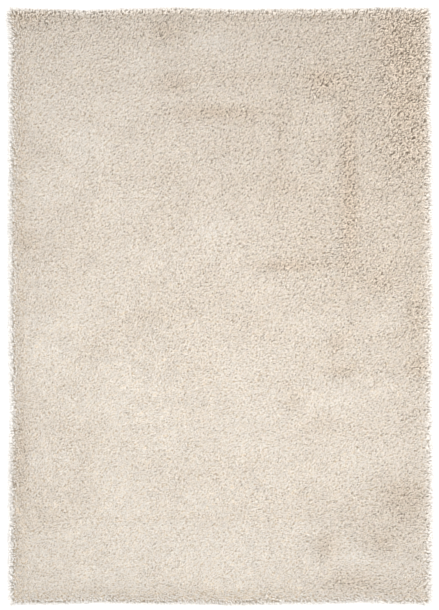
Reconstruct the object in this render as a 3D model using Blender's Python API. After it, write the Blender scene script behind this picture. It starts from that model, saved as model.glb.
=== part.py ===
"""A shag rug lying flat: a ground cloth, and the thick cut pile tufted through it.

Blender 4.5, in metres, +Z up. X is the rug's width and Y its length, the floor is at Z = 0, and the
origin is the middle of the underside.
"""

import math
from collections import namedtuple

import bmesh
import bpy
import numpy as np

NAME = "shag_rug"

# The ground cloth: a stiff woven cloth, cut square.
CLOTH_WIDTH = 1.200
CLOTH_LENGTH = 1.700
CLOTH_THICK = 0.0025
CLOTH_CORNER = 0.006

# The pile: yarn ends standing on the cloth, whose outer rows splay past its edges.
PILE_HEIGHT = 0.030
PILE_OVERHANG = 0.010
PILE_CORNER = 0.020
EDGE_HEIGHT = 0.012     # of the outermost tips above the cloth
SHOULDER = 0.034        # how far in from the edge the pile reaches its full height
FACE_GAP = 0.0003       # between the two solids

# How finely the shapes are divided.
ACROSS = 26
ALONG = 36
OUTLINE_STEP = 0.050
CORNER_STEPS = 4
EDGE_BLEND = 0.160      # how far in from an edge its unevenness dies out

# Where each side wanders from straight: its centre along the side, as a share of half the side's
# length (towards +X or +Y), how far it goes out of the rug there, and how far it reaches, in metres.
Wander = namedtuple("Wander", "side centre out reach")
WANDERS = (
    Wander("left", 0.98, 0.0070, 0.040),
    Wander("left", 0.30, 0.0015, 0.180),
    Wander("left", -0.35, -0.0050, 0.090),
    Wander("right", 0.97, -0.0040, 0.060),
    Wander("right", 0.68, -0.0045, 0.080),
    Wander("right", 0.05, 0.0025, 0.120),
    Wander("right", -0.62, 0.0015, 0.110),
    Wander("top", -0.64, -0.0040, 0.070),
    Wander("top", -0.20, 0.0035, 0.080),
    Wander("top", 0.10, -0.0020, 0.060),
    Wander("top", 0.82, 0.0035, 0.090),
    Wander("bottom", -0.58, -0.0040, 0.080),
    Wander("bottom", 0.07, 0.0030, 0.080),
    Wander("bottom", 0.67, -0.0045, 0.080),
)

# Where the pile stands higher or lies lower than its mean: the middle of the patch, how much it
# rises, and how far it reaches each way, in metres.
Swell = namedtuple("Swell", "x y rise reach_x reach_y")
SWELLS = (
    Swell(-0.36, 0.62, 0.0012, 0.20, 0.16),
    Swell(0.46, 0.66, -0.0022, 0.16, 0.22),
    Swell(-0.02, 0.53, -0.0020, 0.22, 0.07),
    Swell(0.36, 0.34, -0.0024, 0.05, 0.26),
    Swell(0.12, 0.30, 0.0016, 0.16, 0.12),
    Swell(-0.38, 0.16, 0.0012, 0.18, 0.14),
    Swell(0.50, 0.10, 0.0014, 0.10, 0.18),
    Swell(0.02, -0.26, 0.0018, 0.26, 0.24),
    Swell(-0.50, -0.40, -0.0014, 0.10, 0.30),
    Swell(0.42, -0.56, -0.0020, 0.14, 0.12),
    Swell(-0.20, -0.68, 0.0010, 0.24, 0.12),
)

CLOTH_COLOUR = (0.52, 0.42, 0.29, 1.0)
PILE_COLOUR = (0.80, 0.70, 0.58, 1.0)


def clear_scene():
    for item in list(bpy.data.objects):
        bpy.data.objects.remove(item, do_unlink=True)


def material(name, colour, roughness):
    made = bpy.data.materials.new(name)
    made.use_nodes = True
    shader = made.node_tree.nodes["Principled BSDF"]
    shader.inputs["Base Color"].default_value = colour
    shader.inputs["Roughness"].default_value = roughness
    shader.inputs["Metallic"].default_value = 0.0
    return made


def bell(distance, reach):
    """1 in the middle, falling smoothly to almost nothing at twice the reach."""
    return np.exp(-((distance / reach) ** 2))


def wander(side, place, half):
    """How far this side lies inside its outermost point, at each place along it (0 or below)."""
    def raw(at):
        rows = [row for row in WANDERS if row.side == side]
        return sum(row.out * bell(at - row.centre * half, row.reach) for row in rows)
    return raw(place) - raw(np.linspace(-half, half, 800)).max()


def uneven(x, y, half_x, half_y):
    """The same points with each side's unevenness, which dies out towards the middle."""
    across = np.where(x > 0, wander("right", y, half_y), wander("left", y, half_y))
    along = np.where(y > 0, wander("top", x, half_x), wander("bottom", x, half_x))
    near_x = np.clip(1 - (half_x - np.abs(x)) / EDGE_BLEND, 0, 1) ** 2
    near_y = np.clip(1 - (half_y - np.abs(y)) / EDGE_BLEND, 0, 1) ** 2
    return x + np.sign(x) * across * near_x, y + np.sign(y) * along * near_y


def depth_inside(x, y, half_x, half_y, corner):
    """How far each point is inside a rectangle with round corners."""
    past_x = np.abs(x) - (half_x - corner)
    past_y = np.abs(y) - (half_y - corner)
    outside = np.hypot(np.maximum(past_x, 0), np.maximum(past_y, 0))
    return corner - outside - np.minimum(np.maximum(past_x, past_y), 0)


def round_corners(x, y, half_x, half_y, corner):
    """Pulls the squares at the corners of a grid into quarter circles."""
    past_x = np.maximum(np.abs(x) - (half_x - corner), 0)
    past_y = np.maximum(np.abs(y) - (half_y - corner), 0)
    reach = np.hypot(past_x, past_y)
    pull = np.maximum(past_x, past_y) / np.maximum(reach, 1e-9)
    pull = np.where((past_x > 0) & (past_y > 0), pull, 1)
    new_x = np.sign(x) * (np.abs(x) - past_x * (1 - pull))
    new_y = np.sign(y) * (np.abs(y) - past_y * (1 - pull))
    return new_x, new_y


def outline(half_x, half_y, corner):
    """Points round a rectangle with round corners, anticlockwise, with its sides' unevenness."""
    points = []
    for quarter, (sign_x, sign_y) in enumerate(((1, 1), (-1, 1), (-1, -1), (1, -1))):
        centre = (sign_x * (half_x - corner), sign_y * (half_y - corner))
        for step in range(CORNER_STEPS + 1):
            angle = math.pi / 2 * (quarter + step / CORNER_STEPS)
            points.append((centre[0] + corner * math.cos(angle), centre[1] + corner * math.sin(angle)))
        along = half_x - corner if quarter % 2 == 0 else half_y - corner
        steps = round(2 * along / OUTLINE_STEP)
        ahead = ((-1, 0), (0, -1), (1, 0), (0, 1))[quarter]
        last = points[-1]
        for step in range(1, steps):
            run = 2 * along * step / steps
            points.append((last[0] + ahead[0] * run, last[1] + ahead[1] * run))
    x, y = np.array(points).T
    return uneven(x, y, half_x, half_y)


def make_cloth(collection):
    """The ground cloth: its outline filled, and extruded by half its thickness each way."""
    x, y = outline(CLOTH_WIDTH / 2, CLOTH_LENGTH / 2, CLOTH_CORNER)
    curve = bpy.data.curves.new("ground_cloth", "CURVE")
    curve.dimensions = "2D"
    curve.fill_mode = "BOTH"
    curve.extrude = CLOTH_THICK / 2
    edge = curve.splines.new("POLY")
    edge.points.add(len(x) - 1)
    edge.points.foreach_set("co", np.stack([x, y, 0 * x, 0 * x + 1], axis=1).ravel())
    edge.use_cyclic_u = True
    cloth = bpy.data.objects.new("ground_cloth", curve)
    cloth.location.z = CLOTH_THICK / 2
    curve.materials.append(material("ground_cloth", CLOTH_COLOUR, 0.9))
    collection.objects.link(cloth)


def make_pile(collection):
    """The pile: a grid drawn closer at its edges, raised to the tips, over a flat foot."""
    half_x = CLOTH_WIDTH / 2 + PILE_OVERHANG
    half_y = CLOTH_LENGTH / 2 + PILE_OVERHANG
    foot = CLOTH_THICK + FACE_GAP

    work = bmesh.new()
    bmesh.ops.create_grid(work, x_segments=ACROSS, y_segments=ALONG, size=1)
    top = list(work.verts)
    u, v = np.array([vert.co[:2] for vert in top]).T
    x, y = half_x * np.sin(u * math.pi / 2), half_y * np.sin(v * math.pi / 2)
    x, y = round_corners(x, y, half_x, half_y, PILE_CORNER)
    depth = depth_inside(x, y, half_x, half_y, PILE_CORNER)
    rise = np.sqrt(1 - (1 - np.clip(depth / SHOULDER, 0, 1)) ** 2)
    swell = sum(s.rise * bell(x - s.x, s.reach_x) * bell(y - s.y, s.reach_y) for s in SWELLS)
    z = foot + EDGE_HEIGHT + (PILE_HEIGHT - EDGE_HEIGHT + swell) * rise
    x, y = uneven(x, y, half_x, half_y)
    for vert, place in zip(top, zip(x, y, z)):
        vert.co = place

    made = bmesh.ops.extrude_face_region(work, geom=list(work.faces), use_keep_orig=True)
    below = [item for item in made["geom"] if isinstance(item, bmesh.types.BMVert)]
    for vert in below:
        vert.co.z = foot
    flat = [item for item in made["geom"] if isinstance(item, bmesh.types.BMFace)]
    bmesh.ops.dissolve_faces(work, faces=flat, use_verts=False)
    loose = [vert for vert in work.verts if not vert.link_faces]
    bmesh.ops.delete(work, geom=loose, context="VERTS")
    bmesh.ops.recalc_face_normals(work, faces=list(work.faces))

    mesh = bpy.data.meshes.new("yarn_pile")
    work.to_mesh(mesh)
    work.free()
    mesh.shade_smooth()
    mesh.set_sharp_from_angle(angle=math.radians(40))
    mesh.materials.append(material("yarn_pile", PILE_COLOUR, 1.0))
    collection.objects.link(bpy.data.objects.new("yarn_pile", mesh))


def main():
    clear_scene()
    collection = bpy.data.collections.new(NAME)
    bpy.context.scene.collection.children.link(collection)
    make_cloth(collection)
    make_pile(collection)


if __name__ == "__main__":
    main()
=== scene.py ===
"""Builds a shag rug: a woven ground cloth and a deep pile of cut yarn, lying on a pale studio floor.

Metres, +Z up, with the floor at Z = 0. X runs across the rug's width and Y along its length.
Every shape is worked out as whole numpy arrays, and the cloth's and the pile's sizes come from their parts
in model.glb.
"""

import math
from collections import namedtuple

import bpy
import numpy as np
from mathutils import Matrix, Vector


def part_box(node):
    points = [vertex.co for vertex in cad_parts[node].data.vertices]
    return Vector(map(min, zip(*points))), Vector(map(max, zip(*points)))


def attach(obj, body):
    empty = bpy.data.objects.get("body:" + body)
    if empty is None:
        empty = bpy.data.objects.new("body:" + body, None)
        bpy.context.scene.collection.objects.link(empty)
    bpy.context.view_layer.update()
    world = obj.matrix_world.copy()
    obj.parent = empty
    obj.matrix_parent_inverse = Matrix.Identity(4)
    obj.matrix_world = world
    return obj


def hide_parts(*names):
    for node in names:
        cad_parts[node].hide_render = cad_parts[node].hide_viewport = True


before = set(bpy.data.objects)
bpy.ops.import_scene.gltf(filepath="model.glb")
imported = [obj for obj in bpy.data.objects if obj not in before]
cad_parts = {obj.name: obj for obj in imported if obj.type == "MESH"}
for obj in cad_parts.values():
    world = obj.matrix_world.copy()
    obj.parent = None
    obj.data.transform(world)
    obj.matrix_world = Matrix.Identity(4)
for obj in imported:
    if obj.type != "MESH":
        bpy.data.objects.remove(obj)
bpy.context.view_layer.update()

bl_info = {
    "name": "Shag rug",
    "version": (1, 0, 0),
    "blender": (4, 5, 0),
    "location": "3D View > Sidebar > Shag rug",
    "description": "Makes a shag rug's ground cloth and yarn pile, and a plain stage for it",
    "category": "Add Mesh",
}

CLOTH_LOW, CLOTH_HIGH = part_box("ground_cloth")
PILE_LOW, PILE_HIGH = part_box("yarn_pile")

# Half the cloth's size, and how far the pile leans past it.
HALF_X = round((CLOTH_HIGH[0] - CLOTH_LOW[0]) / 2, 3)
HALF_Y = round((CLOTH_HIGH[1] - CLOTH_LOW[1]) / 2, 3)
OVERHANG = round((PILE_HIGH[1] - PILE_LOW[1]) / 2, 3) - HALF_Y
CLOTH_TOP = CLOTH_HIGH[2]
CLOTH_CORNER = 0.006
EDGE_BLEND = 0.160      # how far in from an edge its unevenness dies out
CLOTH_GRID = (49, 69)   # points across and along the rug
CLOTH_EASE = 0.006      # over how much the step at the turned edge is eased
BED_GRID = (111, 157)
BED_GAP = 0.003         # between the bed of the pile and the sides of the cloth
BED_FOOT = 0.0002       # how far the bed's underside lies above the cloth
BED_RIM = 0.0008        # and its top, at the rim
BED_BUMPS = 0.02        # the bed's unevenness, as a share of its height
BED_COVERS = 0.003      # how far below the bed's top the yarns start

# Where each side wanders from straight: its centre along the side, as a share of half the side's
# length (towards +X or +Y), how far it goes out of the rug there, and how far it reaches, in metres.
Wander = namedtuple("Wander", "side centre out reach")
WANDERS = (
    Wander("left", 0.98, 0.0070, 0.040),
    Wander("left", 0.30, 0.0015, 0.180),
    Wander("left", -0.35, -0.0050, 0.090),
    Wander("right", 0.97, -0.0040, 0.060),
    Wander("right", 0.68, -0.0045, 0.080),
    Wander("right", 0.05, 0.0025, 0.120),
    Wander("right", -0.62, 0.0015, 0.110),
    Wander("top", -0.64, -0.0040, 0.070),
    Wander("top", -0.20, 0.0035, 0.080),
    Wander("top", 0.10, -0.0020, 0.060),
    Wander("top", 0.82, 0.0035, 0.090),
    Wander("bottom", -0.58, -0.0040, 0.080),
    Wander("bottom", 0.07, 0.0030, 0.080),
    Wander("bottom", 0.67, -0.0045, 0.080),
)

# How the pile lies. 0 is combed over and closed, and 1 is upright, tousled and open. These say how
# that changes over the whole rug, for places from -1 to 1 each way.
LIE_MIDDLE = 0.22
LIE_ACROSS = 0.13
LIE_ALONG = 0.155
LIE_SIDES = 0.06

# Soft noise, as how strong it is, how much it is drawn out across the rug, how large its hills are,
# in metres, and its seed: first in how open the pile is, then in where its yarns head, in radians.
Noise = namedtuple("Noise", "strength drawn_out size seed")
LIE_NOISE = (Noise(0.09, 2.5, 0.045, 11), Noise(0.04, 1.5, 0.022, 12))
SWIRL_NOISE = (Noise(0.20, 1.0, 0.16, 21), Noise(0.10, 1.0, 0.05, 22))

# Patches where feet and brushing have opened the pile, or laid it flat (below 0): the middle, how
# far the patch reaches each way, in metres, and how much it opens.
Patch = namedtuple("Patch", "x y reach_x reach_y opens")
PATCHES = (
    Patch(0.00, 0.850, 1.20, 0.030, 0.35),
    Patch(-0.55, 0.820, 0.09, 0.030, 0.32),
    Patch(-0.16, 0.780, 0.06, 0.030, 0.40),
    Patch(-0.13, 0.625, 0.05, 0.020, 0.40),
    Patch(0.00, 0.547, 0.13, 0.020, 0.50),
    Patch(0.29, 0.632, 0.05, 0.040, 0.45),
    Patch(0.53, 0.600, 0.09, 0.240, 0.45),
    Patch(0.48, 0.765, 0.06, 0.050, 0.25),
    Patch(0.20, 0.330, 0.06, 0.012, 0.30),
    Patch(0.36, 0.350, 0.024, 0.240, 0.55),
    Patch(0.44, 0.060, 0.05, 0.030, 0.45),
    Patch(0.55, -0.020, 0.03, 0.070, 0.35),
    Patch(0.18, 0.113, 0.07, 0.018, 0.40),
    Patch(-0.56, 0.176, 0.03, 0.030, 0.35),
    Patch(-0.20, -0.040, 0.07, 0.018, 0.25),
    Patch(-0.38, -0.143, 0.04, 0.030, 0.20),
    Patch(0.33, -0.114, 0.03, 0.035, 0.35),
    Patch(0.34, -0.192, 0.05, 0.020, 0.40),
    Patch(0.56, -0.178, 0.03, 0.030, 0.50),
    Patch(0.20, -0.273, 0.03, 0.040, 0.30),
    Patch(0.29, -0.331, 0.04, 0.020, 0.25),
    Patch(-0.58, -0.420, 0.025, 0.090, 0.35),
    Patch(0.52, -0.563, 0.07, 0.060, 0.45),
    Patch(0.29, -0.694, 0.03, 0.040, 0.40),
    Patch(0.45, -0.679, 0.05, 0.030, 0.40),
    Patch(0.36, -0.795, 0.08, 0.020, 0.35),
    Patch(0.06, -0.845, 0.08, 0.012, 0.40),
    Patch(-0.15, 0.188, 0.45, 0.010, 0.07),
    Patch(0.23, 0.108, 0.24, 0.012, 0.18),
    Patch(-0.07, -0.613, 0.42, 0.008, 0.16),
    Patch(0.05, 0.650, 0.30, 0.012, 0.20),
    Patch(0.17, 0.480, 0.02, 0.120, 0.20),
    Patch(-0.50, -0.126, 0.07, 0.110, -0.15),
    Patch(-0.24, 0.690, 0.07, 0.080, -0.18),
    Patch(-0.45, 0.450, 0.18, 0.280, -0.09),
    Patch(0.28, 0.140, 0.14, 0.120, 0.13),
    Patch(0.12, 0.420, 0.26, 0.150, 0.09),
    Patch(0.37, -0.280, 0.09, 0.120, -0.14),
    Patch(0.52, -0.460, 0.06, 0.050, -0.12),
    Patch(-0.54, -0.600, 0.10, 0.090, 0.16),
    Patch(0.40, 0.220, 0.20, 0.170, 0.12),
    Patch(-0.25, 0.000, 0.18, 0.120, 0.07),
    Patch(0.05, -0.070, 0.12, 0.100, 0.07),
    Patch(-0.38, 0.445, 0.07, 0.060, -0.08),
    Patch(-0.03, 0.740, 0.07, 0.035, -0.25),
    Patch(0.22, 0.423, 0.03, 0.050, -0.15),
    Patch(-0.04, 0.205, 0.05, 0.030, -0.30),
    Patch(0.32, 0.191, 0.025, 0.050, -0.15),
    Patch(0.49, 0.263, 0.05, 0.060, -0.15),
    Patch(0.38, -0.723, 0.04, 0.020, -0.20),
)

# How much the tufts and the single yarn ends differ, where the pile is combed and where it is open:
# in heading, in radians; in lean and length, as shares; and in how far a yarn end curls sideways.
TUFT_TURN = (0.07, 0.18)
OWN_TURN = (0.06, 0.38)
TUFT_LEAN = (0.03, 0.08)
OWN_LEAN = (0.03, 0.14)
OWN_LENGTH = (0.03, 0.07)
OWN_CURL = (0.15, 0.60)
OWN_THICK = 0.10        # and everywhere in thickness, and in reach past the cloth, as shares
OWN_REACH = 0.22
BEND = (0.25, 1.20)     # how much of its lean a yarn has at its foot and at its tip

# One yarn end of each tuft is low, by a gamma-distributed amount with this shape and scale. One step
# of it shortens the yarn end by this share.
LOW_SHAPE, LOW_SCALE = 2, 0.55
LOW_SHORTER = 0.05

# How much further out an edge yarn leans: for each step of its own lean, when it droops, and along
# the rug's long sides.
OUT_OWN, OUT_DROOP, OUT_SIDES = 0.2, 0.7, 0.34
EDGE_FALL = 0.25        # how far every edge yarn bends down, as a share of its rise
EDGE_THICK = 0.15       # and how much thicker it is drawn
EDGE_PALE = 0.55        # how far up the yarn its foot takes its colour from
EDGE_LONG = 0.25        # how near the edge the yarns get one ring more

# A yarn end is a three-sided tube, closed by a point at each end. The lower point lies about where
# the yarn comes up out of the bed. These say where its rings stand, as shares of the stretch that is
# made, and how thick each is, as a share of the yarn. Yarn ends that show most of their length, at
# the edges and where the pile is open, have one ring more.
Tube = namedtuple("Tube", "ring_at ring_thick")
SHORT = Tube((0.62,), (1.0,))
LONG = Tube((0.28, 0.78), (0.90, 1.0))
SIDES = 3
STRANDS = 3     # yarn ends in a tuft
PATH_STEPS = 14
RING_SHIFT = 0.08       # how far a ring may stand from its place, as a share of the same stretch

# How light a higher yarn end is drawn, where the pile is combed and where it is open, and how much
# lighter it is painted at the rim. Then how fast red, green and blue fall in a yarn in painted shade,
# which stands for light coming off its neighbours, and how much lighter each is painted at the edges,
# which stands for light coming off the floor.
HIGH_LIGHT = (1.02, 1.09)
RIM_LIGHT = 0.06
SHADE_POWERS = (0.92, 1.00, 1.14)
EDGE_LIGHT = (0.04, 0.06, 0.09)
MOST_TRIANGLES = 196_000    # in one piece

# The stage. The camera looks straight down, from a little off the rug's middle.
FRAME_LENGTH = 1.7413   # how much the frame takes in along Y, level with the middle of the pile
EYE = (-0.0009, 0.0041)
PILE_MIDDLE = 0.020     # above the cloth
SENSOR = 36.0           # the camera's, in millimetres
LAMP_PLACE = (0.25, 0.0, 1.7)
LAMP_SIZE = 1.2
FLOOR_HALF = 20.0


# Shapes shared by the cloth and the pile


def bell(distance, reach):
    """1 in the middle, falling smoothly to almost nothing at twice the reach."""
    return np.exp(-((distance / reach) ** 2))


def blend(low, high, share):
    """From low to high as share goes from 0 to 1."""
    return low + (high - low) * share


def wander(side, place, half):
    """How far this side lies inside its outermost point, at each place along it (0 or below).
    The sum of the side's bells, less the greatest value that the sum has."""
    def raw(at):
        rows = [row for row in WANDERS if row.side == side]
        return sum(row.out * bell(at - row.centre * half, row.reach) for row in rows)
    return raw(place) - raw(np.linspace(-half, half, 800)).max()


def uneven(x, y):
    """The same points with each side's unevenness. A side's wander moves a point in full at the
    side, and by the square of its nearness further in."""
    across = np.where(x > 0, wander("right", y, HALF_Y), wander("left", y, HALF_Y))
    along = np.where(y > 0, wander("top", x, HALF_X), wander("bottom", x, HALF_X))
    near_x = np.clip(1 - (HALF_X - np.abs(x)) / EDGE_BLEND, 0, 1) ** 2
    near_y = np.clip(1 - (HALF_Y - np.abs(y)) / EDGE_BLEND, 0, 1) ** 2
    return x + np.sign(x) * across * near_x, y + np.sign(y) * along * near_y


def round_corners(x, y):
    """Pulls the squares at the corners of a grid into quarter circles. Past the corner's centre, a
    point keeps its direction and takes the larger of its two offsets as its distance."""
    past_x = np.maximum(np.abs(x) - (HALF_X - CLOTH_CORNER), 0)
    past_y = np.maximum(np.abs(y) - (HALF_Y - CLOTH_CORNER), 0)
    pull = np.maximum(past_x, past_y) / np.maximum(np.hypot(past_x, past_y), 1e-9)
    pull = np.where((past_x > 0) & (past_y > 0), pull, 1)
    return x - np.sign(x) * past_x * (1 - pull), y - np.sign(y) * past_y * (1 - pull)


def past_cloth(x, y):
    """(distance, out_x, out_y): how far each point is past the cloth's straight outline, below 0
    inside it, and the direction out of the cloth from there."""
    beyond_x, beyond_y = np.abs(x) - HALF_X, np.abs(y) - HALF_Y
    corner = np.hypot(np.maximum(beyond_x, 0), np.maximum(beyond_y, 0))
    distance = corner + np.minimum(np.maximum(beyond_x, beyond_y), 0)
    # Inside, the direction turns from one side to the other across the corner.
    turn, reach, least = 0.012, 0.05, 1e-4
    weight_x = np.exp(np.minimum(beyond_x, 0) / turn) * np.maximum(beyond_x + reach, least)
    weight_y = np.exp(np.minimum(beyond_y, 0) / turn) * np.maximum(beyond_y + reach, least)
    size = np.hypot(weight_x, weight_y)
    return distance, np.sign(x) * weight_x / size, np.sign(y) * weight_y / size


def soft_noise(x, y, size, seed):
    """Smooth hills and hollows from -1 to 1, about size across: a lattice of random values, with
    each point between four of them eased by 3t^2 - 2t^3."""
    reach_x, reach_y = HALF_X + 0.1, HALF_Y + 0.1
    across, along = (int(2 * reach / size) + 4 for reach in (reach_x, reach_y))
    lattice = np.random.default_rng(seed).uniform(-1, 1, (across, along))
    u, v = (x + reach_x) / size, (y + reach_y) / size
    i = np.clip(np.floor(u).astype(int), 0, across - 2)
    j = np.clip(np.floor(v).astype(int), 0, along - 2)
    s, t = np.clip(u - i, 0, 1), np.clip(v - j, 0, 1)
    s, t = s * s * (3 - 2 * s), t * t * (3 - 2 * t)
    near = blend(lattice[i, j], lattice[i + 1, j], s)
    far = blend(lattice[i, j + 1], lattice[i + 1, j + 1], s)
    return blend(near, far, t)


def noise_sum(x, y, rows):
    """The sum of these rows of soft noise, each times its strength."""
    return sum(row.strength * soft_noise(x / row.drawn_out, y, row.size, row.seed) for row in rows)


def openness(x, y):
    """How open the pile is at each place, from 0 to 1: a plane tilted across and along the rug and
    raised at the sides, with the patches' bells and soft noise added. The rug has been rolled up, so
    the noise is drawn out across it."""
    u, v = x / HALF_X, y / HALF_Y
    lie = LIE_MIDDLE + LIE_ACROSS * u + LIE_ALONG * v + LIE_SIDES * u * u
    for p in PATCHES:
        lie = lie + p.opens * bell(x - p.x, p.reach_x) * bell(y - p.y, p.reach_y)
    return np.clip(lie + noise_sum(x, y, LIE_NOISE), 0, 1)


def mesh_object(name, points, faces, smooth=True):
    """A mesh object at the origin. faces is a list of arrays, one for each number of corners."""
    sizes = np.concatenate([np.full(len(part), part.shape[1]) for part in faces])
    corners = np.concatenate([part.ravel() for part in faces])
    mesh = bpy.data.meshes.new(name)
    mesh.vertices.add(len(points))
    mesh.vertices.foreach_set("co", points.astype(np.float32).ravel())
    mesh.loops.add(len(corners))
    mesh.loops.foreach_set("vertex_index", corners.astype(np.int32))
    mesh.polygons.add(len(sizes))
    starts = np.concatenate([[0], np.cumsum(sizes)[:-1]])
    mesh.polygons.foreach_set("loop_start", starts.astype(np.int32))
    mesh.polygons.foreach_set("loop_total", sizes.astype(np.int32))
    mesh.polygons.foreach_set("use_smooth", np.full(len(sizes), smooth))
    mesh.update(calc_edges=True)
    made = bpy.data.objects.new(name, mesh)
    bpy.context.scene.collection.objects.link(made)
    return made


# Materials


def linear(hex_colour, alpha=1.0):
    """An sRGB hex colour, such as "F0E8DC", as Blender's linear (r, g, b, alpha)."""
    shares = [int(hex_colour[k:k + 2], 16) / 255 for k in (0, 2, 4)]
    return (*[s / 12.92 if s <= 0.04045 else ((s + 0.055) / 1.055) ** 2.4 for s in shares], alpha)


def node(tree, kind, inputs=None, **settings):
    """Adds a node. inputs maps a socket's name or number to a value, or to the output that it links."""
    made = tree.nodes.new(kind)
    for name, value in settings.items():
        setattr(made, name, value)
    for key, value in (inputs or {}).items():
        if isinstance(value, bpy.types.NodeSocket):
            tree.links.new(value, made.inputs[key])
        else:
            made.inputs[key].default_value = value
    return made


def new_material(name):
    made = bpy.data.materials.new(name)
    made.use_nodes = True
    made.node_tree.nodes.clear()
    return made, made.node_tree


def yarn_material(settings):
    """Twisted polyester shag yarn, heat-set after twisting. The crimped fibres make it matt, with a
    soft bloom at grazing angles. The tips are pale, and the roots are painted a darker warm tan as
    shade, where light hardly reaches down among the yarns. Two plies wind round each other, and the
    grooves between them are painted a little darker as shade."""
    made, tree = new_material("twisted_polyester_yarn")
    place = node(tree, "ShaderNodeTexCoord")
    around = node(tree, "ShaderNodeUVMap", uv_map="Yarn")
    split = node(tree, "ShaderNodeSeparateXYZ", {0: around.outputs["UV"]})
    # The per-yarn factor read here is painted light and shade: low yarn ends and open pile drawn darker,
    # the rim and edges lighter.
    shade_tint = node(tree, "ShaderNodeAttribute", attribute_name="yarn_light_and_shade")

    # The root colour is painted shade: the yarn is drawn darker and warmer towards its root, where light
    # hardly reaches.
    rise = node(tree, "ShaderNodeMapRange", {"Value": split.outputs["Y"]}, interpolation_type="SMOOTHSTEP")
    body = node(tree, "ShaderNodeMix", {
        "Factor": rise.outputs[0], "A": settings.root_shade_colour, "B": settings.tip_colour,
    }, data_type="RGBA")

    # Two plies, at a twist of one turn in 11 mm: about 3.5 turns in a yarn end.
    turns = settings.length / 0.011
    wind = node(tree, "ShaderNodeMapping", {
        "Vector": around.outputs["UV"], "Scale": (0.4 * math.pi, 0.4 * math.pi * turns, 1),
    })
    plies = node(tree, "ShaderNodeTexWave", {
        "Vector": wind.outputs[0], "Scale": 1.0, "Distortion": 0.6, "Detail": 1.0,
    }, wave_type="BANDS", bands_direction="DIAGONAL")
    # Crimped fibres, drawn about 4 mm from crimp to crimp, coarser than they are.
    crimp = node(tree, "ShaderNodeTexNoise", {
        "Vector": place.outputs["Object"], "Scale": 230.0, "Detail": 1.0, "Roughness": 0.6,
    })
    # Painted shade: the grooves between the plies are drawn up to a tenth darker.
    groove_shade = node(tree, "ShaderNodeMapRange", {
        "Value": plies.outputs["Fac"], "To Min": 0.90, "To Max": 1.0,
    })
    fleck = node(tree, "ShaderNodeMapRange", {
        "Value": crimp.outputs["Fac"], "From Min": 0.3, "From Max": 0.7, "To Min": 0.80, "To Max": 1.06,
    })
    tone = node(tree, "ShaderNodeMath", {
        0: groove_shade.outputs[0], 1: fleck.outputs[0],
    }, operation="MULTIPLY")
    dyed = node(tree, "ShaderNodeVectorMath", {
        0: body.outputs["Result"], 1: shade_tint.outputs["Color"],
    }, operation="MULTIPLY")
    colour = node(tree, "ShaderNodeVectorMath", {
        0: dyed.outputs[0], "Scale": tone.outputs[0],
    }, operation="SCALE")

    height = node(tree, "ShaderNodeMath", {
        0: plies.outputs["Fac"], 1: crimp.outputs["Fac"],
    }, operation="ADD")
    bump = node(tree, "ShaderNodeBump", {
        "Height": height.outputs[0], "Strength": 0.5, "Distance": 0.0006,
    })
    surface = node(tree, "ShaderNodeBsdfPrincipled", {
        "Base Color": colour.outputs[0], "Roughness": 0.85, "IOR": 1.57,
        "Specular IOR Level": 0.25, "Sheen Weight": settings.sheen, "Sheen Roughness": 0.5,
        "Sheen Tint": linear("FFF6E8"), "Normal": bump.outputs[0],
    })
    node(tree, "ShaderNodeOutputMaterial", {"Surface": surface.outputs[0]})
    return made


def bed_material(settings):
    """The lower part of the same twisted polyester yarn, packed together by the tufting and seen only
    between the tips, and painted a little darker than the tips as shade. Each yarn end gives a pale,
    fully matt lump, and the gaps between them are painted a warm tan as shade, where light hardly
    reaches."""
    made, tree = new_material("packed_polyester_yarn")
    place = node(tree, "ShaderNodeTexCoord")
    # One lump in 4.8 mm, as close as the yarn ends stand.
    lump = node(tree, "ShaderNodeTexVoronoi", {"Vector": place.outputs["Object"], "Scale": 210.0})
    gap_shade = node(tree, "ShaderNodeMapRange", {
        "Value": lump.outputs["Distance"], "From Min": 0.25, "From Max": 0.75,
    })
    # Painted shade: the lumps take the bed's colour and the gaps between them a darker warm tan.
    colour = node(tree, "ShaderNodeMix", {
        "Factor": gap_shade.outputs[0], "A": settings.bed_shade_colour, "B": settings.bed_gap_shade_colour,
    }, data_type="RGBA")
    surface = node(tree, "ShaderNodeBsdfPrincipled", {
        "Base Color": colour.outputs["Result"], "Roughness": 0.95, "IOR": 1.57,
        "Specular IOR Level": 0.25,
    })
    node(tree, "ShaderNodeOutputMaterial", {"Surface": surface.outputs[0]})
    return made


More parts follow.
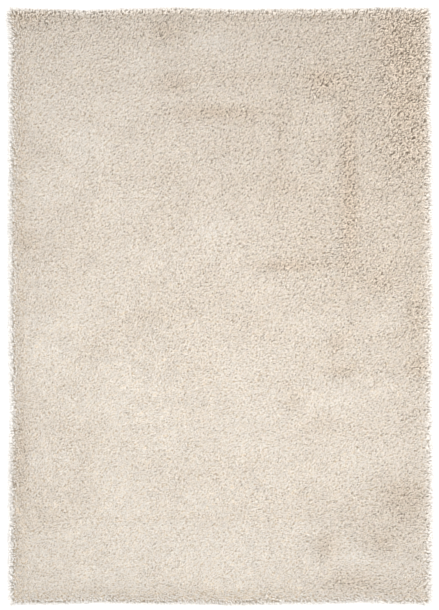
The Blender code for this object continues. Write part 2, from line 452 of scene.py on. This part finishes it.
def ground_cloth_material(settings):
    """Plain-woven jute and cotton ground cloth with a thin coat of latex glue. The flat threads cross
    over and under, straw-coloured and matt, and the glue leaves a slight gloss."""
    made, tree = new_material("latex_backed_ground_cloth")
    place = node(tree, "ShaderNodeTexCoord")
    # A wave texture has a period of 0.2 pi in its own units, at a scale of 1.
    count = 0.2 * math.pi / (2 * settings.thread)
    threads = []
    for direction in ("X", "Y"):
        threads.append(node(tree, "ShaderNodeTexWave", {
            "Vector": place.outputs["Object"], "Scale": 2 * count, "Distortion": 0.4,
            "Detail": 2.0, "Detail Scale": 0.3,
        }, wave_type="BANDS", bands_direction=direction))
    over = node(tree, "ShaderNodeTexChecker", {
        "Vector": place.outputs["Object"], "Scale": 1 / settings.thread,
    })
    weave = node(tree, "ShaderNodeMix", {
        "Factor": over.outputs["Fac"], "A": threads[0].outputs["Fac"], "B": threads[1].outputs["Fac"],
    }, data_type="FLOAT")
    slub = node(tree, "ShaderNodeTexNoise", {
        "Vector": place.outputs["Object"], "Scale": 60.0, "Detail": 5.0, "Roughness": 0.65,
    })
    colour = node(tree, "ShaderNodeMix", {
        "Factor": weave.outputs[0], "A": settings.gap_colour, "B": settings.thread_colour,
    }, data_type="RGBA")
    worn = node(tree, "ShaderNodeMapRange", {
        "Value": slub.outputs["Fac"], "From Min": 0.3, "From Max": 0.7, "To Min": 0.80, "To Max": 1.1,
    })
    shaded = node(tree, "ShaderNodeVectorMath", {
        0: colour.outputs["Result"], "Scale": worn.outputs[0],
    }, operation="SCALE")
    rough = node(tree, "ShaderNodeMapRange", {
        "Value": weave.outputs[0], "To Min": 0.55, "To Max": 0.85,
    })
    bump = node(tree, "ShaderNodeBump", {
        "Height": weave.outputs[0], "Strength": 0.7, "Distance": 0.0008,
    })
    surface = node(tree, "ShaderNodeBsdfPrincipled", {
        "Base Color": shaded.outputs[0], "Roughness": rough.outputs[0], "IOR": 1.5,
        "Normal": bump.outputs[0],
    })
    node(tree, "ShaderNodeOutputMaterial", {"Surface": surface.outputs[0]})
    return made


# The ground cloth and the bed of the pile


def slab(x, y, top, under):
    """Points and faces of a closed slab over a grid of places: the grid once at the top's height and
    once at the underside's, joined by a strip round the edge."""
    upper = np.stack([x, y, top + 0 * x], axis=-1).reshape(-1, 3)
    lower = np.stack([x, y, under + 0 * x], axis=-1).reshape(-1, 3)
    index = np.arange(x.size).reshape(x.shape)
    cells = np.stack([index[:-1, :-1], index[1:, :-1], index[1:, 1:], index[:-1, 1:]], axis=-1)
    cells = cells.reshape(-1, 4)
    rim = np.concatenate([index[:-1, 0], index[-1, :-1], index[:0:-1, -1], index[0, :0:-1]])
    after = np.roll(rim, -1)
    wall = np.stack([rim + x.size, after + x.size, after, rim], axis=-1)
    return np.concatenate([upper, lower]), [cells, cells[:, ::-1] + x.size, wall]


def cloth_surface(settings):
    """The ground cloth: a slab on a grid drawn closer at its edges by a sine. The underside is a hair
    higher inside the turned edge, eased over a few millimetres, so that the turned edge stands out."""
    u, v = (np.sin(np.linspace(-1, 1, count) * math.pi / 2) for count in CLOTH_GRID)
    x, y = np.meshgrid(u * HALF_X, v * HALF_Y, indexing="ij")
    x, y = round_corners(x, y)
    inside = -past_cloth(x, y)[0]
    ease = np.clip((inside - settings.hem) / CLOTH_EASE, 0, 1)
    lift = settings.hem_thick * ease * ease * (3 - 2 * ease)
    x, y = uneven(x, y)
    return slab(x, y, CLOTH_TOP, lift)


def bed_height(x, y, settings):
    """How high the close-packed lower pile stands above the cloth: lower where the pile is open, and
    rounded down to nothing at the edges by a quarter of an ellipse."""
    depth = np.maximum(-past_cloth(x, y)[0] - settings.bed_inset, 0)
    shoulder = np.sqrt(1 - (1 - np.clip(depth / settings.bed_round, 0, 1)) ** 2)
    return blend(settings.bed_closed, settings.bed_open, openness(x, y)) * shoulder


def bed_surface(settings):
    """The bed of the pile: a slab on the cloth whose top follows bed_height, with each point moved up
    or down a little at random."""
    draw = np.random.default_rng(settings.seed + 1)
    u, v = (np.linspace(-1, 1, count) for count in BED_GRID)
    x, y = np.meshgrid(u * (HALF_X - BED_GAP), v * (HALF_Y - BED_GAP), indexing="ij")
    rise = bed_height(x, y, settings)
    rise = rise + draw.normal(0, BED_BUMPS, x.shape) * rise
    x, y = uneven(x, y)
    points, (top, _, wall) = slab(x, y, CLOTH_TOP + BED_RIM + rise, CLOTH_TOP + BED_FOOT)
    # The underside is one flat face with the rim's lower points as its corners.
    rim = wall[::-1, 0]
    used, corner = np.unique(np.concatenate([top.ravel(), wall.ravel()]), return_inverse=True)
    top, wall = corner[:top.size].reshape(-1, 4), corner[top.size:].reshape(-1, 4)
    return points[used], [top, wall, np.searchsorted(used, rim)[None, :]]


# The pile


def yarn_roots(settings, draw):
    """Where the yarn ends leave the cloth. The tufts stand in rows, every second row shifted by half a
    step, with each moved a little at random, and a tuft's yarn ends stand evenly round its middle.
    It gives (x, y, tuft, out_x, out_y): each root, its tuft's number and its way out of the tuft."""
    step = settings.spacing
    rows = int(2 * HALF_Y / (step * math.sqrt(0.75)))
    columns = int(2 * HALF_X / step)
    across = (np.arange(columns) + 0.5) / columns * 2 - 1
    along = (np.arange(rows) + 0.5) / rows * 2 - 1
    x, y = np.meshgrid(across * HALF_X, along * HALF_Y)
    x = x + np.where(np.arange(rows) % 2, 0.25, -0.25)[:, None] * step
    x, y = x.ravel(), y.ravel()
    x = x + draw.uniform(-1, 1, x.size) * step * settings.stray
    y = y + draw.uniform(-1, 1, y.size) * step * settings.stray
    turn = draw.uniform(0, 2 * math.pi, x.size)[:, None] + np.arange(STRANDS) * 2 * math.pi / STRANDS
    out_x, out_y = np.cos(turn).ravel(), np.sin(turn).ravel()
    tuft = np.repeat(np.arange(x.size), STRANDS)
    x = np.clip(x[tuft] + out_x * settings.tuft / 2, -HALF_X, HALF_X)
    y = np.clip(y[tuft] + out_y * settings.tuft / 2, -HALF_Y, HALF_Y)
    return x, y, tuft, out_x, out_y


def yarn_paths(settings):
    """The centre line of every yarn end; how much of it is hidden, where its colour starts, whether it
    gets the longer tube, how thick it is, how light it is painted, and how it is rolled about its line.

    A yarn leaves the cloth nearly upright and leans over by more as it goes, and further where the
    pile is combed. The lean is a level vector: along the comb's heading with a swirl, the tuft's turn
    and the yarn's own turn added, all larger where the pile is open. Near an edge the vector passes
    smoothly into one that points out of the rug, and the yarn droops. The line is the sum of its
    steps. One yarn end of each tuft is low: shorter than the rest, and painted darker as shade."""
    draw = np.random.default_rng(settings.seed)
    x, y, tuft, apart_x, apart_y = yarn_roots(settings, draw)
    count = x.size
    lie = openness(x, y)
    tuft_turn, tuft_lean = draw.normal(0, 1, (2, count // STRANDS))[:, tuft]
    low = np.zeros(count)
    picked = np.arange(0, count, STRANDS) + draw.integers(0, STRANDS, count // STRANDS)
    low[picked] = draw.gamma(LOW_SHAPE, LOW_SCALE, len(picked))
    own_turn, own_lean, own_curl, own_length, own_reach = draw.normal(0, 1, (5, count))

    heading = math.radians(settings.comb_heading) + noise_sum(x, y, SWIRL_NOISE)
    heading = heading + tuft_turn * blend(*TUFT_TURN, lie) + own_turn * blend(*OWN_TURN, lie)
    lean = np.sin(np.radians(blend(settings.lean_closed, settings.lean_open, lie)))
    lean = lean * (1 + tuft_lean * blend(*TUFT_LEAN, lie) + own_lean * blend(*OWN_LEAN, lie))
    lean_x = lean * np.cos(heading) + settings.fan * apart_x
    lean_y = lean * np.sin(heading) + settings.fan * apart_y

    distance, out_x, out_y = past_cloth(x, y)
    edge = bell(np.minimum(distance, 0), settings.splay)
    # Along the very edge the yarns fan out from nearly upright to drooping down to the floor.
    droop = draw.uniform(0, 1, count) * edge ** 3
    outward = settings.outward * (1 + OUT_OWN * own_lean + OUT_DROOP * droop + OUT_SIDES * np.abs(out_x))
    lean_x = blend(lean_x, outward * out_x, edge)
    lean_y = blend(lean_y, outward * out_y, edge)

    length = np.clip(1 + own_length * blend(*OWN_LENGTH, lie) - LOW_SHORTER * low, 0.75, 1.12)
    length = settings.length * length
    t = (np.arange(PATH_STEPS) + 0.5) / PATH_STEPS
    bend = blend(*BEND, t)
    curl = own_curl[:, None] * blend(*OWN_CURL, lie)[:, None] * (t - 0.5)
    step_x = lean_x[:, None] * bend - lean_y[:, None] * curl
    step_y = lean_y[:, None] * bend + lean_x[:, None] * curl
    level = np.minimum(step_x ** 2 + step_y ** 2, 0.97)
    step_z = np.sqrt(1 - level) - (edge * EDGE_FALL + droop * settings.droop)[:, None] * t
    step = np.stack([step_x, step_y, step_z], axis=-1)
    step = step / np.linalg.norm(step, axis=-1, keepdims=True) * (length / PATH_STEPS)[:, None, None]
    line = np.concatenate([np.zeros((count, 1, 3)), np.cumsum(step, axis=1)], axis=1)
    line = line + np.stack([x, y, np.full(count, CLOTH_TOP)], axis=-1)[:, None, :]

    # Past the cloth the reach levels off at the overhang, and what is held back hangs lower.
    past, out_x, out_y = past_cloth(line[:, :, 0], line[:, :, 1])
    past = np.maximum(past, 0)
    most = OVERHANG + settings.reach_more + settings.reach_sides * np.abs(out_x)
    most = most * np.clip(1 + OWN_REACH * own_reach, 0.5, 1.6)[:, None]
    held = past - most * (1 - np.exp(-past / most))
    line[:, :, 0] -= out_x * held
    line[:, :, 1] -= out_y * held
    line[:, :, 2] = np.maximum(line[:, :, 2] - 0.5 * held, settings.thick * 0.75)

    # The stretch that shows starts a little below the bed's top.
    bed = CLOTH_TOP + bed_height(line[:, :, 0], line[:, :, 1], settings) - BED_COVERS
    hidden = (line[:, :, 2] < bed)[:, :-3].sum(axis=1) / PATH_STEPS
    line[:, :, 0], line[:, :, 1] = uneven(line[:, :, 0], line[:, :, 1])
    # Light reaches the feet of the edge yarns too, so their painted root shade is lifted: their colour is
    # that of further up.
    pale_from = np.maximum(hidden, EDGE_PALE * edge)

    # A tuft's higher yarn ends are as pale as each other. Less light comes in to the low one, so it is
    # painted darker: painted shade, more where the pile is open.
    # Painted light: near the rim the yarns are drawn lighter, and spared the low yarns' painted shade.
    rim = edge ** 2
    low_shade = blend(settings.dark_closed, settings.dark_open, lie ** 1.3) * (1 - rim)
    shade = blend(*HIGH_LIGHT, lie) - low * low_shade
    shade = np.clip(shade, 0.3, 1.12) * (1 + RIM_LIGHT * rim)
    # Painted shade: where the pile is open, except at the rim, the yarn is tinted darker and warmer towards
    # the open colour, below.
    shade_tint = np.array(settings.open_shade_colour[:3]) / np.array(settings.tip_colour[:3])
    # The powers make the painted shade warmer, and the edges are painted lighter, for light off the floor.
    shade = shade[:, None] ** np.array(SHADE_POWERS) * (1 + edge[:, None] * np.array(EDGE_LIGHT))
    shade = shade * blend(1.0, shade_tint, (lie * (1 - rim))[:, None])
    thick = settings.thick * np.clip(1 + OWN_THICK * draw.normal(0, 1, count), 0.75, 1.3)
    thick = thick * (1 + EDGE_THICK * edge)
    long = (edge > EDGE_LONG) | (lie > settings.long_from)
    return line, hidden, pale_from, long, thick, shade, draw.uniform(0, 2 * math.pi, count)


def yarn_tubes(line, hidden, thick, roll, tube):
    """The points of these yarns: a point at the foot, a ring at each of the tube's places, and a
    point at the tip. A ring lies across the line, turned by roll: centre + radius (cos a side +
    sin a up), where side is level and up is square to it and to the line."""
    # The rings' places differ a little from yarn to yarn, or they would line up along the sides.
    shift = np.sin(roll * 5)[:, None] * RING_SHIFT * np.array((0, *[1] * len(tube.ring_at)))
    foot_on = np.array((0.0, *tube.ring_at)) + shift
    at = blend(hidden[:, None], 1, foot_on) * PATH_STEPS
    low = np.minimum(at.astype(int), PATH_STEPS - 1)
    yarn = np.arange(len(line))[:, None]
    centre = blend(line[yarn, low], line[yarn, low + 1], (at - low)[..., None])
    ahead = line[yarn, low + 1] - line[yarn, np.maximum(low - 1, 0)]
    ahead = ahead / np.maximum(np.linalg.norm(ahead, axis=-1, keepdims=True), 1e-9)
    over = line[:, -1] - line[:, 0]
    level = np.stack([-over[:, 1], over[:, 0], np.zeros(len(over))], axis=-1)
    level = level / np.maximum(np.linalg.norm(level, axis=-1, keepdims=True), 1e-9)
    side = level[:, None, :] - ahead * (level[:, None, :] * ahead).sum(-1, keepdims=True)
    side = side / np.maximum(np.linalg.norm(side, axis=-1, keepdims=True), 1e-9)
    up = np.cross(ahead, side)
    angle = (roll[:, None, None] + np.arange(SIDES) * 2 * math.pi / SIDES)[..., None]
    radius = (thick[:, None] / 2 * np.array((0.0, *tube.ring_thick)))[:, :, None, None]
    ring = np.cos(angle) * side[:, :, None, :] + np.sin(angle) * up[:, :, None, :]
    rings = (centre[:, :, None, :] + radius * ring)[:, 1:].reshape(len(line), -1, 3)
    return np.concatenate([centre[:, :1], rings, line[:, -1:, :]], axis=1)


def yarn_faces(tube):
    """The faces of one yarn, as its own point numbers: a fan at the foot, quads up its sides and a
    fan to the tip. Each comes with its places on the yarn: (round, along)."""
    rings, at = len(tube.ring_at), (0.0, *tube.ring_at, 1.0)
    tip = rings * SIDES + 1
    quads, quad_map, fans, fan_map = [], [], [], []
    for j in range(SIDES):
        left, right, n = j / SIDES, (j + 1) / SIDES, (j + 1) % SIDES
        middle = (left + right) / 2
        fans += [(0, 1 + n, 1 + j), (tip - SIDES + j, tip - SIDES + n, tip)]
        fan_map.append(((middle, 0.0), (right, at[1]), (left, at[1])))
        fan_map.append(((left, at[-2]), (right, at[-2]), (middle, 1.0)))
        for k in range(1, rings):
            low, high = 1 + (k - 1) * SIDES, 1 + k * SIDES
            quads.append((low + j, low + n, high + n, high + j))
            quad_map.append(((left, at[k]), (right, at[k]), (right, at[k + 1]), (left, at[k + 1])))
    return (
        np.array(quads, int).reshape(-1, 4), np.array(fans),
        np.array(quad_map).reshape(-1, 4, 2), np.array(fan_map),
    )


def triangle_count(tube):
    return 2 * SIDES * len(tube.ring_at)


def pile_piece(name, groups):
    """One piece of the pile, from groups of (tube, points, shade, pale_from). Each yarn's faces are the
    same pattern, shifted by its points. On the map for baking each yarn has a square of its own, in
    rows."""
    columns = math.ceil(math.sqrt(sum(len(points) for _, points, _, _ in groups)))
    quads, fans, quad_yarn, fan_yarn, quad_bake, fan_bake, shades, places = ([] for _ in range(8))
    first_yarn, first_point = 0, 0
    for tube, points, shade, pale_from in groups:
        count, each = points.shape[:2]
        cell = np.arange(first_yarn, first_yarn + count)
        cell = np.stack([cell % columns, cell // columns], axis=-1)[:, None, :]
        shift = (first_point + np.arange(count) * each)[:, None, None]
        one_quads, one_fans, quad_map, fan_map = yarn_faces(tube)
        for one, one_map, faces, yarn, bake in (
            (one_quads, quad_map, quads, quad_yarn, quad_bake),
            (one_fans, fan_map, fans, fan_yarn, fan_bake),
        ):
            faces.append((one + shift).reshape(-1, one.shape[1]))
            corners = np.broadcast_to(one_map.reshape(1, -1, 2), (count, one_map.size // 2, 2))
            inner = 0.04 + 0.92 * corners
            bake.append(((cell + inner) / columns).reshape(-1, 2))
            along = blend(pale_from[:, None], 1, corners[..., 1])
            yarn.append(np.stack([corners[..., 0], along], axis=-1).reshape(-1, 2))
        shades.append(np.repeat(np.insert(shade, 3, 1.0, axis=1), each, axis=0))
        places.append(points.reshape(-1, 3))
        first_yarn, first_point = first_yarn + count, first_point + count * each
    made = mesh_object(name, np.concatenate(places), [np.concatenate(quads), np.concatenate(fans)])
    mesh = made.data
    for title, parts in (("Yarn", quad_yarn + fan_yarn), ("OFBake", quad_bake + fan_bake)):
        layer = mesh.uv_layers.new(name=title)
        layer.data.foreach_set("uv", np.concatenate(parts).astype(np.float32).ravel())
    mesh.uv_layers["Yarn"].active_render = True
    # Each yarn's painted light and shade, as a colour factor on its points.
    shade_tint = mesh.attributes.new("yarn_light_and_shade", "FLOAT_COLOR", "POINT")
    shade_tint.data.foreach_set("color", np.concatenate(shades).astype(np.float32).ravel())
    return made


# What a user can change


class ClothSettings(bpy.types.PropertyGroup):
    thread: bpy.props.FloatProperty(
        name="Thread spacing", description="From one thread of the weave to the next",
        default=0.005, min=0.001, unit="LENGTH", precision=4,
    )
    hem: bpy.props.FloatProperty(
        name="Turned edge", description="Width of the cloth turned under and glued at the edge",
        default=0.028, min=0.0, unit="LENGTH", precision=3,
    )
    hem_thick: bpy.props.FloatProperty(
        name="Turned edge's step", description="How far the turned edge stands out below",
        default=0.0008, min=0.0, unit="LENGTH", precision=4,
    )
    thread_colour: bpy.props.FloatVectorProperty(
        name="Threads", description="Colour of the ground cloth's threads", subtype="COLOR",
        size=4, min=0.0, max=1.0, default=linear("D9CBB0"),
    )
    gap_colour: bpy.props.FloatVectorProperty(
        name="Gaps", description="Colour of the glue between the threads", subtype="COLOR",
        size=4, min=0.0, max=1.0, default=linear("A08F72"),
    )


class PileSettings(bpy.types.PropertyGroup):
    spacing: bpy.props.FloatProperty(
        name="Spacing", description="From one tuft to the next",
        default=0.0071, min=0.005, unit="LENGTH", precision=4,
    )
    stray: bpy.props.FloatProperty(
        name="Stray", description="How far a tuft may stray from its place, as a share of the spacing",
        default=0.24, min=0.0, max=0.5, subtype="FACTOR",
    )
    thick: bpy.props.FloatProperty(
        name="Thickness", description="How thick a yarn is",
        default=0.0042, min=0.001, unit="LENGTH", precision=4,
    )
    length: bpy.props.FloatProperty(
        name="Length", description="Length of a yarn end from the cloth to its tip",
        default=0.032, min=0.005, unit="LENGTH", precision=3,
    )
    lean_closed: bpy.props.FloatProperty(
        name="Lean, combed", description="How far the yarns lean where the pile is combed over, in degrees",
        default=45.0, min=0.0, max=85.0,
    )
    lean_open: bpy.props.FloatProperty(
        name="Lean, open", description="How far the yarns lean where the pile is open, in degrees",
        default=29.0, min=0.0, max=85.0,
    )
    long_from: bpy.props.FloatProperty(
        name="Longer tubes", description="How open the pile is where the yarns get one ring more",
        default=0.72, min=0.0, max=1.0, subtype="FACTOR",
    )
    tuft: bpy.props.FloatProperty(
        name="Tuft", description="How wide the ring is that a tuft's yarn ends stand on",
        default=0.0036, min=0.0, unit="LENGTH", precision=4,
    )
    fan: bpy.props.FloatProperty(
        name="Fan", description="How far a tuft's yarn ends lean away from each other",
        default=0.04, min=0.0, max=1.0, subtype="FACTOR",
    )
    bed_closed: bpy.props.FloatProperty(
        name="Bed, combed", description="Height of the packed lower pile where it is combed over",
        default=0.0200, min=0.0, unit="LENGTH", precision=4,
    )
    bed_open: bpy.props.FloatProperty(
        name="Bed, open", description="Height of the packed lower pile where it is open",
        default=0.0160, min=0.0, unit="LENGTH", precision=4,
    )
    bed_inset: bpy.props.FloatProperty(
        name="Bed's inset", description="How far in from the cloth's edge the packed lower pile starts",
        default=0.001, min=0.0, unit="LENGTH", precision=4,
    )
    bed_round: bpy.props.FloatProperty(
        name="Bed's shoulder", description="How far in the packed lower pile reaches its full height",
        default=0.006, min=0.001, unit="LENGTH", precision=4,
    )
    splay: bpy.props.FloatProperty(
        name="Splay", description="How far in from the edge the yarns turn outwards",
        default=0.020, min=0.001, unit="LENGTH", precision=3,
    )
    outward: bpy.props.FloatProperty(
        name="Outward", description="How far the edge yarns lean out, as the sine of their lean",
        default=0.50, min=0.0, max=1.0, subtype="FACTOR",
    )
    droop: bpy.props.FloatProperty(
        name="Droop", description="How far the outermost yarns bend down, as a share of their rise",
        default=1.10, min=0.0, max=2.0,
    )
    # Painted shade: the low yarn ends are drawn darker, more where the pile is open.
    dark_closed: bpy.props.FloatProperty(
        name="Low yarns, combed", description="How much darker the low yarn ends are in combed pile",
        default=0.20, min=0.0, max=1.0, subtype="FACTOR",
    )
    dark_open: bpy.props.FloatProperty(
        name="Low yarns, open", description="How much darker the low yarn ends are in open pile",
        default=0.98, min=0.0, max=1.0, subtype="FACTOR",
    )
    reach_more: bpy.props.FloatProperty(
        name="Reach", description="How much further the longest edge yarns may reach",
        default=-0.0055, min=-0.01, unit="LENGTH", precision=4,
    )
    reach_sides: bpy.props.FloatProperty(
        name="Reach at the long sides",
        description="How much further still they reach along the long sides",
        default=0.0240, min=-0.01, unit="LENGTH", precision=4,
    )
    comb_heading: bpy.props.FloatProperty(
        name="Comb heading", description="Where the tips point, in degrees from +X to +Y",
        default=40.0,
    )
    sheen: bpy.props.FloatProperty(
        name="Sheen", description="Soft bloom of the fibres at grazing angles",
        default=0.3, min=0.0, max=1.0, subtype="FACTOR",
    )
    tip_colour: bpy.props.FloatVectorProperty(
        name="Tips", description="Colour of the yarn's tips", subtype="COLOR",
        size=4, min=0.0, max=1.0, default=linear("EEE9E2"),
    )
    # Painted shade: the colour the yarn is drawn where the pile is open, darker and warmer, as light is
    # lost between the upright yarns.
    open_shade_colour: bpy.props.FloatVectorProperty(
        name="Tips, open", description="Colour of the yarn where the pile is open and shows its sides",
        subtype="COLOR", size=4, min=0.0, max=1.0, default=linear("E9DAC8"),
    )
    # Painted shade: the yarn's colour near the cloth, darker than the tips because little light reaches
    # down there.
    root_shade_colour: bpy.props.FloatVectorProperty(
        name="Roots", description="Colour of the yarn near the cloth", subtype="COLOR",
        size=4, min=0.0, max=1.0, default=linear("DED5C9"),
    )
    # Painted shade: the packed lower pile is drawn darker than the tips.
    bed_shade_colour: bpy.props.FloatVectorProperty(
        name="Bed", description="Colour of the packed lower pile", subtype="COLOR",
        size=4, min=0.0, max=1.0, default=linear("E6DCCE"),
    )
    # Painted shade: the gaps in the packed lower pile, where light hardly reaches.
    bed_gap_shade_colour: bpy.props.FloatVectorProperty(
        name="Bed's gaps", description="Colour of the gaps in the packed lower pile", subtype="COLOR",
        size=4, min=0.0, max=1.0, default=linear("B9A993"),
    )
    seed: bpy.props.IntProperty(
        name="Seed", description="Picks another arrangement of the yarns", default=7,
    )


class StageSettings(bpy.types.PropertyGroup):
    floor_colour: bpy.props.FloatVectorProperty(
        name="Floor", description="Colour of the floor", subtype="COLOR",
        size=4, min=0.0, max=1.0, default=linear("F7F7F7"),
    )
    sky: bpy.props.FloatProperty(
        name="All-round light", description="Strength of the light from all round",
        default=1.446, min=0.0,
    )
    lamp: bpy.props.FloatProperty(
        name="Main light", description="Power of the soft round light above the rug",
        default=17.0, min=0.0, unit="POWER",
    )
    lens: bpy.props.FloatProperty(
        name="Lens", description="The camera's focal length", default=100.0, min=10.0,
        subtype="DISTANCE_CAMERA",
    )


# Operators


class RUG_OT_ground_cloth(bpy.types.Operator):
    """Make the woven ground cloth that the yarn is tufted through"""

    bl_idname = "rug.ground_cloth"
    bl_label = "Ground cloth"

    def execute(self, context):
        settings = context.scene.rug_cloth
        cloth = mesh_object("woven_ground_cloth", *cloth_surface(settings))
        cloth.data.shade_smooth()
        cloth.data.set_sharp_from_angle(angle=math.radians(50))
        cloth.data.materials.append(ground_cloth_material(settings))
        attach(cloth, "root")
        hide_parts("ground_cloth")
        return {"FINISHED"}


class RUG_OT_pile(bpy.types.Operator):
    """Make the pile of cut yarn, in bands from one end of the rug to the other"""

    bl_idname = "rug.pile"
    bl_label = "Yarn pile"

    def execute(self, context):
        settings = context.scene.rug_pile
        line, hidden, pale_from, long, thick, shade, roll = yarn_paths(settings)
        order = np.argsort(line[:, 0, 1], kind="stable")
        cost = np.where(long, triangle_count(LONG), triangle_count(SHORT))[order].cumsum()
        bands = math.ceil(cost[-1] / MOST_TRIANGLES)
        cuts = np.searchsorted(cost, cost[-1] * np.arange(1, bands) / bands)
        yarn = yarn_material(settings)
        for number, members in enumerate(np.split(order, cuts), 1):
            groups = []
            for tube, chosen in ((SHORT, members[~long[members]]), (LONG, members[long[members]])):
                points = yarn_tubes(line[chosen], hidden[chosen], thick[chosen], roll[chosen], tube)
                groups.append((tube, points, shade[chosen], pale_from[chosen]))
            piece = pile_piece(f"pile_band_{number}", groups)
            piece.data.materials.append(yarn)
            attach(piece, "root")
            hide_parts("yarn_pile")
        bed = mesh_object("pile_bed", *bed_surface(settings))
        bed.data.materials.append(bed_material(settings))
        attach(bed, "root")
        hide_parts("yarn_pile")
        return {"FINISHED"}


class RUG_OT_stage(bpy.types.Operator):
    """Make the pale floor, the soft light and the camera straight above"""

    bl_idname = "rug.stage"
    bl_label = "Floor, light and camera"

    def execute(self, context):
        settings = context.scene.rug_stage
        scene = context.scene
        corners = FLOOR_HALF * np.array([(-1, -1, 0), (1, -1, 0), (1, 1, 0), (-1, 1, 0)])
        floor = mesh_object("studio_floor", corners, [np.array([[0, 1, 2, 3]])])
        made, tree = new_material("matt_white_board")
        surface = node(tree, "ShaderNodeBsdfPrincipled", {
            "Base Color": settings.floor_colour, "Roughness": 1.0, "Specular IOR Level": 0.0,
        })
        node(tree, "ShaderNodeOutputMaterial", {"Surface": surface.outputs[0]})
        floor.data.materials.append(made)

        world = bpy.data.worlds.new("studio_light")
        world.use_nodes = True
        world.node_tree.nodes["Background"].inputs["Color"].default_value = (1, 1, 1, 1)
        world.node_tree.nodes["Background"].inputs["Strength"].default_value = settings.sky
        scene.world = world
        lamp = bpy.data.lights.new("soft_lamp", "AREA")
        lamp.energy = settings.lamp
        lamp.shape = "DISK"
        lamp.size = LAMP_SIZE
        lamp_object = bpy.data.objects.new("soft_lamp", lamp)
        lamp_object.location = LAMP_PLACE
        lamp_object.visible_camera = False
        scene.collection.objects.link(lamp_object)

        camera = bpy.data.cameras.new("camera")
        camera.lens = settings.lens
        camera.sensor_width = SENSOR
        away = FRAME_LENGTH * camera.lens / camera.sensor_width
        eye = bpy.data.objects.new("camera", camera)
        eye.location = (*EYE, CLOTH_TOP + PILE_MIDDLE + away)
        camera.clip_end = 100.0
        scene.collection.objects.link(eye)
        scene.camera = eye
        scene.view_settings.view_transform = "Standard"
        return {"FINISHED"}


class RUG_PT_panel(bpy.types.Panel):
    """Lists the rug's pieces and their settings"""

    bl_idname = "RUG_PT_panel"
    bl_label = "Shag rug"
    bl_space_type = "VIEW_3D"
    bl_region_type = "UI"
    bl_category = "Shag rug"

    def draw(self, context):
        for operator, settings in OPERATORS:
            box = self.layout.box()
            box.operator(operator.bl_idname)
            group = getattr(context.scene, settings)
            for name in group.bl_rna.properties.keys():
                if name not in ("rna_type", "name"):
                    box.prop(group, name)


OPERATORS = (
    (RUG_OT_ground_cloth, "rug_cloth"),
    (RUG_OT_pile, "rug_pile"),
    (RUG_OT_stage, "rug_stage"),
)
SETTINGS = (("rug_cloth", ClothSettings), ("rug_pile", PileSettings), ("rug_stage", StageSettings))


def register():
    for name, group in SETTINGS:
        bpy.utils.register_class(group)
        setattr(bpy.types.Scene, name, bpy.props.PointerProperty(type=group))
    for operator, _ in OPERATORS:
        bpy.utils.register_class(operator)
    bpy.utils.register_class(RUG_PT_panel)


def unregister():
    bpy.utils.unregister_class(RUG_PT_panel)
    for operator, _ in reversed(OPERATORS):
        bpy.utils.unregister_class(operator)
    for name, group in reversed(SETTINGS):
        delattr(bpy.types.Scene, name)
        bpy.utils.unregister_class(group)


def main():
    register()
    bpy.ops.rug.ground_cloth()
    bpy.ops.rug.pile()
    bpy.ops.rug.stage()


if __name__ == "__main__":
    main()
